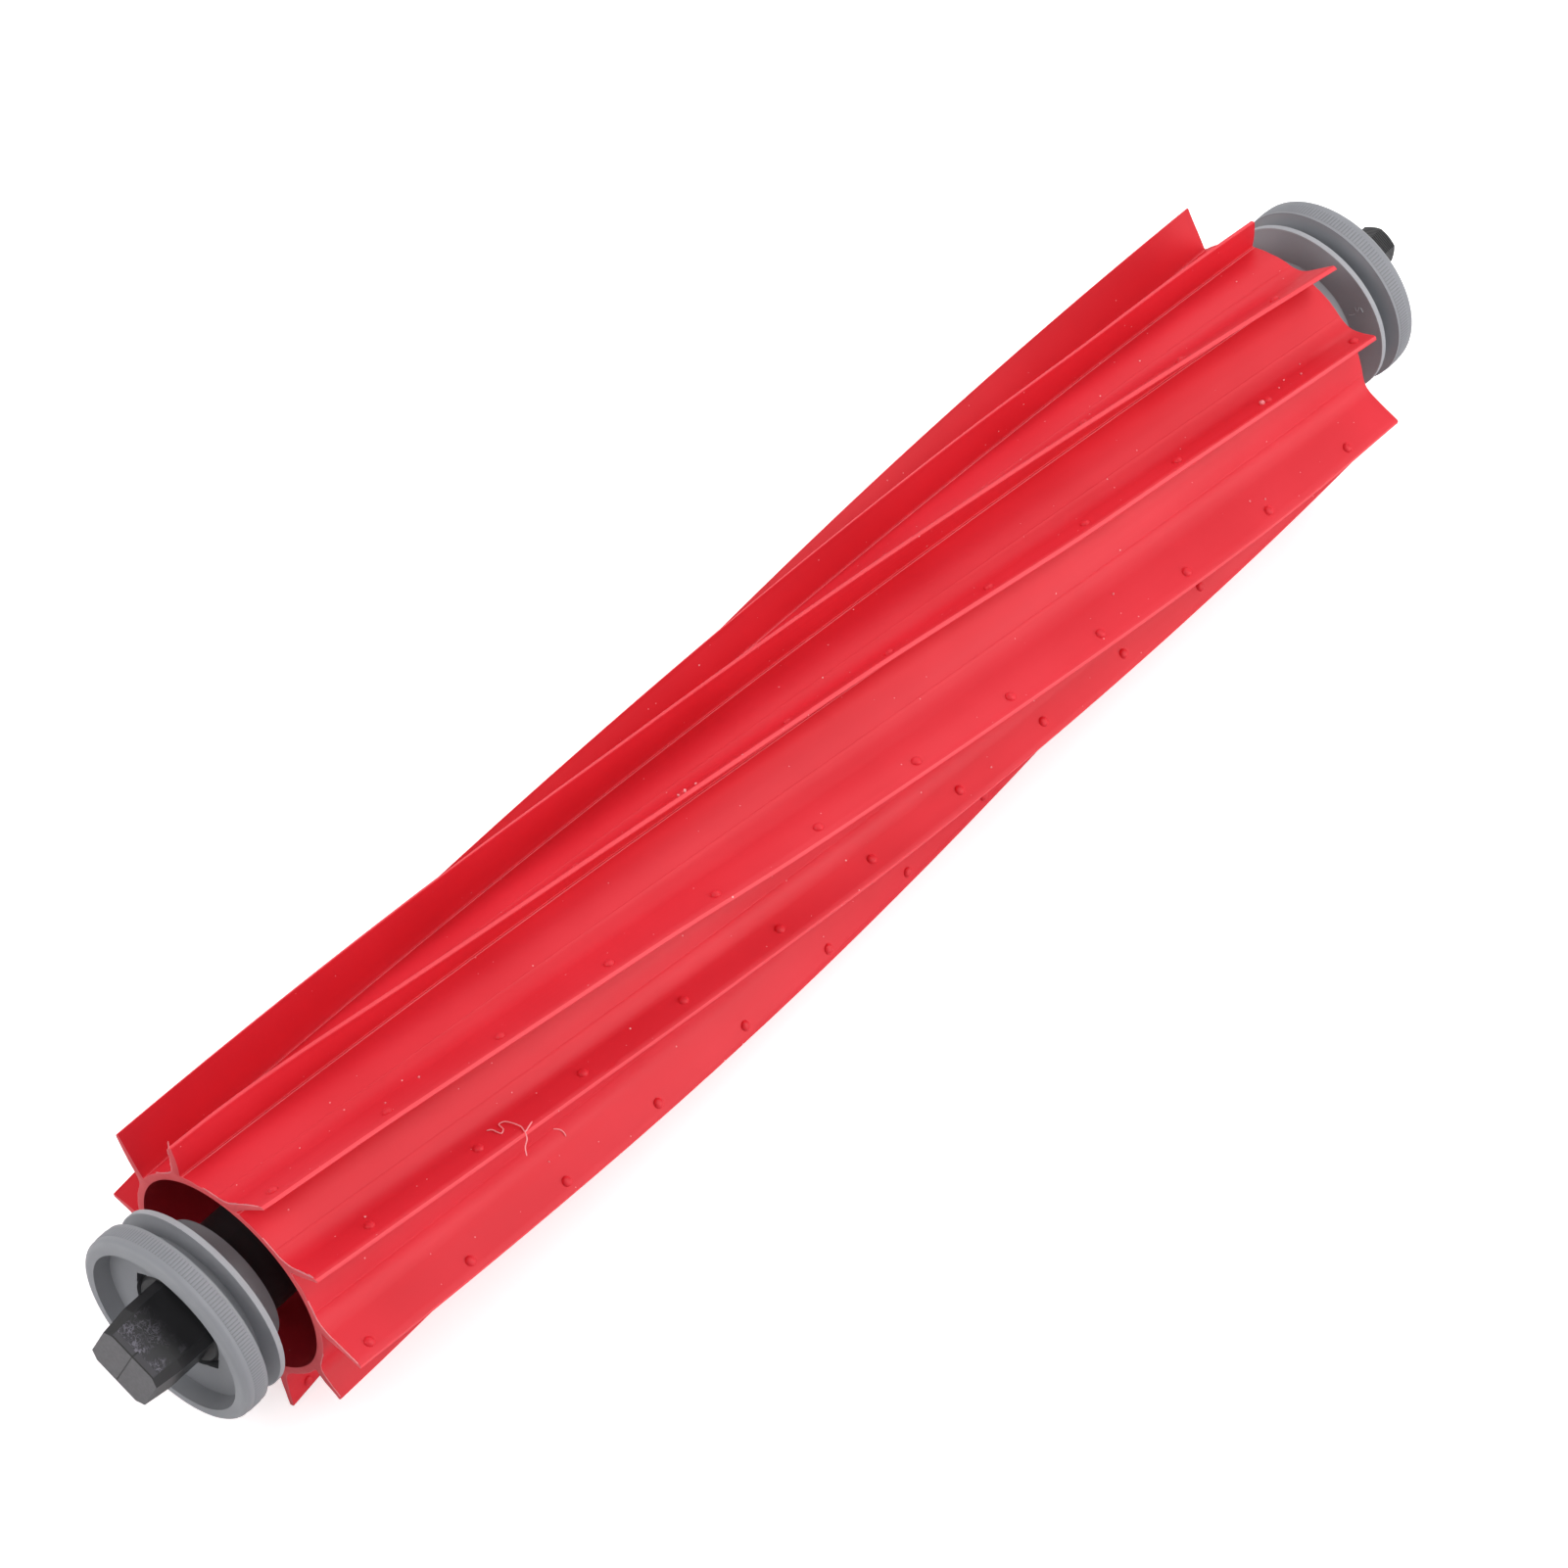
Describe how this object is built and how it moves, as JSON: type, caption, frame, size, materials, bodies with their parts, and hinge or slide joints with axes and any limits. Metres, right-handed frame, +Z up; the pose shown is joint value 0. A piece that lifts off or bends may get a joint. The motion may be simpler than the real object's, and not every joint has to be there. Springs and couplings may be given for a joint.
{
  "type": "robot vacuum roller brush",
  "caption": "Finned rubber roller on a plastic core, with twist-lock end caps, a square drive tang at one end and a hexagonal peg on a ball bearing at the other.",
  "frame": {"origin": "on the roller's axis, halfway between the drive tang's end face and the idler peg's end", "axes": "+X along the roller's axis from the drive tang to the idler peg, +Z up as in the picture"},
  "size_m": [0.1956, 0.0343, 0.0344],
  "materials": {
    "red_rubber": "smooth satin moulded rubber",
    "black_plastic": "moulded, satin, scuffed on the tang",
    "grey_plastic": "moulded, satin",
    "steel": "ground",
    "nylon": "moulded"
  },
  "bodies": {
    "roller": {"rubber_sleeve": "red_rubber", "roller_core": "black_plastic", "bearing_outer_ring": "steel", "bearing_shield_inboard": "steel", "bearing_shield_outboard": "steel"},
    "drive_cap": {"drive_end_cap": "grey_plastic"},
    "idler_cap": {"idler_end_cap": "grey_plastic"},
    "idler": {"idler_peg": "black_plastic", "idler_axle": "steel", "thrust_washer": "nylon", "retaining_clip": "steel", "bearing_inner_ring": "steel"},
    "ball_set": {"ball_cage": "nylon", "bearing_ball_1": "steel", "bearing_ball_2": "steel", "bearing_ball_3": "steel", "bearing_ball_4": "steel", "bearing_ball_5": "steel", "bearing_ball_6": "steel", "bearing_ball_7": "steel"}
  },
  "joints": [
    {"name": "drive_cap_twist", "type": "hinge", "parent": "roller", "child": "drive_cap", "pos_m": [-0.0898, 0, 0], "axis": [-1, 0, 0], "range_deg": [0, 30]},
    {"name": "idler_cap_twist", "type": "hinge", "parent": "roller", "child": "idler_cap", "pos_m": [0.0868, 0, 0], "axis": [1, 0, 0], "range_deg": [0, 30]},
    {"name": "idler_spin", "type": "hinge", "parent": "roller", "child": "idler", "pos_m": [0.0852, 0, 0], "axis": [1, 0, 0], "continuous": true},
    {"name": "ball_cage_spin", "type": "hinge", "parent": "roller", "child": "ball_set", "pos_m": [0.0852, 0, 0], "axis": [1, 0, 0], "continuous": true}
  ],
  "couplings": [
    {"joint": "ball_cage_spin", "follows": "idler_spin", "ratio": 0.375}
  ]
}
